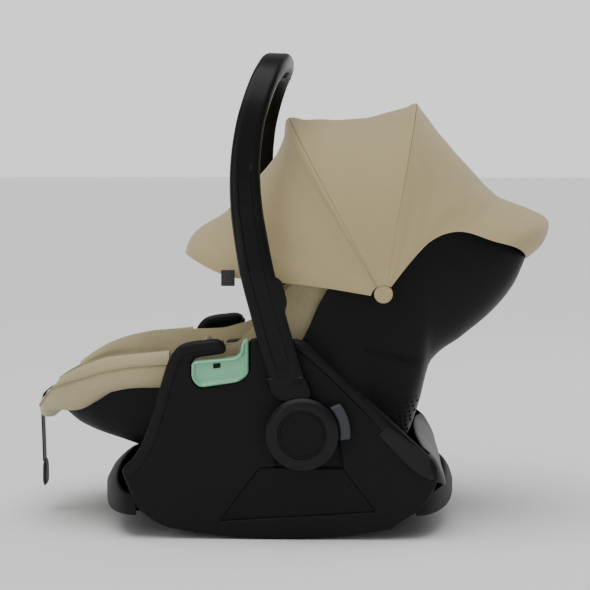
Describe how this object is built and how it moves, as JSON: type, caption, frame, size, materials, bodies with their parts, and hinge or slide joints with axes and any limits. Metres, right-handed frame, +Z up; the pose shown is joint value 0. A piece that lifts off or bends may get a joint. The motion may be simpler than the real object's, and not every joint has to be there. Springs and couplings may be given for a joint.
{
  "type": "infant car seat",
  "caption": "Rear-facing infant carrier on a rocker base, with a swinging carry handle, folding canopy, padded liner, harness and belt guides.",
  "frame": {"origin": "on the floor under the middle of the seat's length and width, hanging adjuster strap left out", "axes": "+X towards the head end, +Y across to the far side, +Z up"},
  "size_m": [0.6653, 0.444, 0.6031],
  "materials": {
    "base_plastic": "matte",
    "inset_plastic": "matte",
    "shell_plastic": "matte",
    "belt_green": "satin",
    "steel": "satin",
    "grey_button": "satin",
    "handle_plastic": "satin",
    "hub_plastic": "satin",
    "canopy_fabric": "matte",
    "bow_plastic": "satin",
    "cover_fabric": "matte",
    "foam": "matte",
    "webbing": "matte",
    "buckle_plastic": "satin",
    "buckle_red": "satin"
  },
  "bodies": {
    "root": {"floor_pan": "base_plastic", "side_panel_left": "base_plastic", "side_panel_right": "base_plastic", "rim_trim_left": "base_plastic", "rim_trim_right": "base_plastic", "inset_panel_left": "inset_plastic", "inset_panel_right": "inset_plastic", "belt_guide_left": "belt_green", "belt_guide_right": "belt_green", "foot_hoop": "base_plastic", "head_hoop": "base_plastic", "rear_crossmember": "base_plastic", "dock_bar_front": "steel", "dock_bar_rear": "steel", "hub_pin_left": "steel", "hub_pin_right": "steel", "seat_shell": "shell_plastic", "foam_liner": "foam", "seat_cover": "cover_fabric", "cover_rim": "cover_fabric", "seat_pad": "cover_fabric", "crotch_strap": "webbing", "crotch_pad": "cover_fabric", "buckle_body": "buckle_plastic", "buckle_tongues": "steel", "shoulder_straps": "webbing", "shoulder_pads": "cover_fabric", "adjuster_bezel": "buckle_plastic", "adjuster_strap": "webbing", "strap_tab": "webbing", "canopy_pins": "shell_plastic", "canopy_rear_panel": "canopy_fabric", "dock_release_pin": "steel", "pan_screws": "steel"},
    "handle": {"handle_frame": "handle_plastic", "handle_inner_cover": "handle_plastic", "grip_pad": "handle_plastic", "pivot_disc_left": "hub_plastic", "pivot_disc_right": "hub_plastic", "hub_cap_left": "hub_plastic", "hub_cap_right": "hub_plastic", "button_spring_left": "steel", "button_spring_right": "steel"},
    "release_left": {"release_button_left": "grey_button"},
    "release_right": {"release_button_right": "grey_button"},
    "rear_bow_body": {"rear_bow": "bow_plastic"},
    "front_bow_body": {"front_bow": "bow_plastic", "canopy_middle_panel": "canopy_fabric"},
    "visor_body": {"visor_brim": "bow_plastic", "canopy_visor_panel": "canopy_fabric", "side_tag": "webbing"},
    "headrest_body": {"headrest_shell": "shell_plastic", "headrest_pad": "cover_fabric", "headrest_pull": "grey_button"},
    "buckle_button_body": {"buckle_button": "buckle_red"},
    "adjuster_button_body": {"adjuster_button": "grey_button"},
    "dock_release_body": {"dock_release_lever": "grey_button"}
  },
  "joints": [
    {"name": "handle_hinge", "type": "hinge", "parent": "root", "child": "handle", "pos_m": [0.016, 0, 0.135], "axis": [0, 1, 0], "range_deg": [-80, 100]},
    {"name": "release_left_press", "type": "slide", "parent": "handle", "child": "release_left", "axis": [-0.9563, 0, -0.2924], "range_m": [0, 0.005], "stiffness_N_per_m": 700, "springref_m": -0.002, "deforming": ["button_spring_left"]},
    {"name": "release_right_press", "type": "slide", "parent": "handle", "child": "release_right", "axis": [-0.9563, 0, -0.2924], "range_m": [0, 0.005], "stiffness_N_per_m": 700, "springref_m": -0.002, "deforming": ["button_spring_right"]},
    {"name": "rear_bow_hinge", "type": "hinge", "parent": "root", "child": "rear_bow_body", "pos_m": [0.115, 0, 0.298], "axis": [0, 1, 0], "range_deg": [0, 28], "deforming": ["canopy_rear_panel"]},
    {"name": "front_bow_hinge", "type": "hinge", "parent": "rear_bow_body", "child": "front_bow_body", "pos_m": [0.115, 0, 0.298], "axis": [0, 1, 0], "range_deg": [0, 31], "deforming": ["canopy_middle_panel"]},
    {"name": "visor_hinge", "type": "hinge", "parent": "front_bow_body", "child": "visor_body", "pos_m": [0.115, 0, 0.298], "axis": [0, 1, 0], "range_deg": [0, 40], "deforming": ["canopy_visor_panel"]},
    {"name": "headrest_slide", "type": "slide", "parent": "root", "child": "headrest_body", "axis": [0.6401, 0, 0.7683], "range_m": [0, 0.06]},
    {"name": "buckle_press", "type": "slide", "parent": "root", "child": "buckle_button_body", "axis": [-1, 0, 0], "range_m": [0, 0.004], "stiffness_N_per_m": 700, "springref_m": -0.002},
    {"name": "adjuster_press", "type": "slide", "parent": "root", "child": "adjuster_button_body", "axis": [-0.4424, 0, -0.8968], "range_m": [0, 0.004], "stiffness_N_per_m": 700, "springref_m": -0.002},
    {"name": "dock_release_hinge", "type": "hinge", "parent": "root", "child": "dock_release_body", "pos_m": [0.16, 0, 0.051], "axis": [0, 1, 0], "range_deg": [-12, 0], "stiffness_Nm_per_rad": 0.6, "springref_deg": 5.73}
  ]
}
